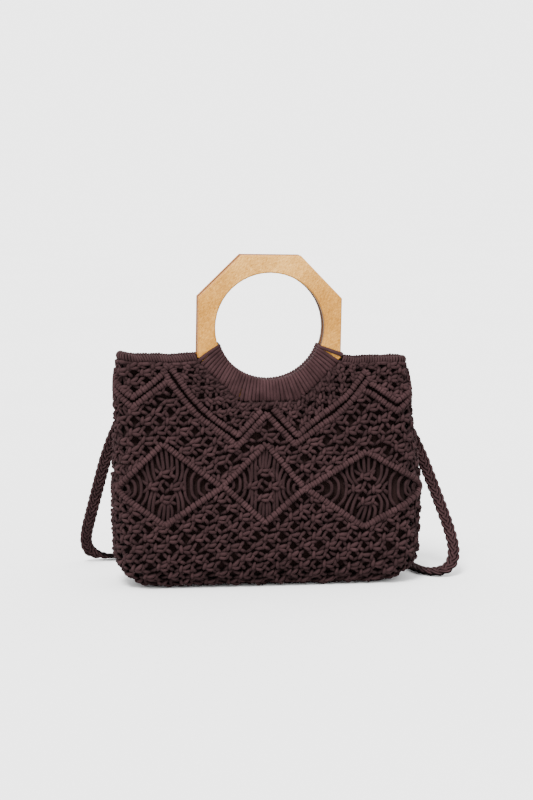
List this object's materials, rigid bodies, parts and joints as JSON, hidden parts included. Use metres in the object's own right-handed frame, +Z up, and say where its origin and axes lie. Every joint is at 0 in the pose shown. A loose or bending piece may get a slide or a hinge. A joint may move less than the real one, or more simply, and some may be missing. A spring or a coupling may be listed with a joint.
{
  "type": "crochet handbag",
  "caption": "Knotted cord handbag with a fabric lining, octagonal wooden ring handles, wrapped rims and a braided shoulder strap.",
  "frame": {"origin": "on the surface that the bag stands on, under the middle of the bag", "axes": "+Z up, the front faces -Y, +X is the right-hand side seen from the front"},
  "size_m": [0.3808, 0.2006, 0.3285],
  "materials": {
    "cord": "dark plum brown twisted cotton cord",
    "lining": "plain woven red-brown fabric",
    "wood": "light golden wood, satin"
  },
  "bodies": {
    "root": {"net_body": "cord", "lining": "lining", "handle_front": "wood", "handle_back": "wood", "wrap_front": "cord", "wrap_back": "cord", "rim_left": "cord", "rim_right": "cord", "strap_knot_left": "cord", "strap_knot_right": "cord", "strap": "cord"}
  },
  "joints": []
}
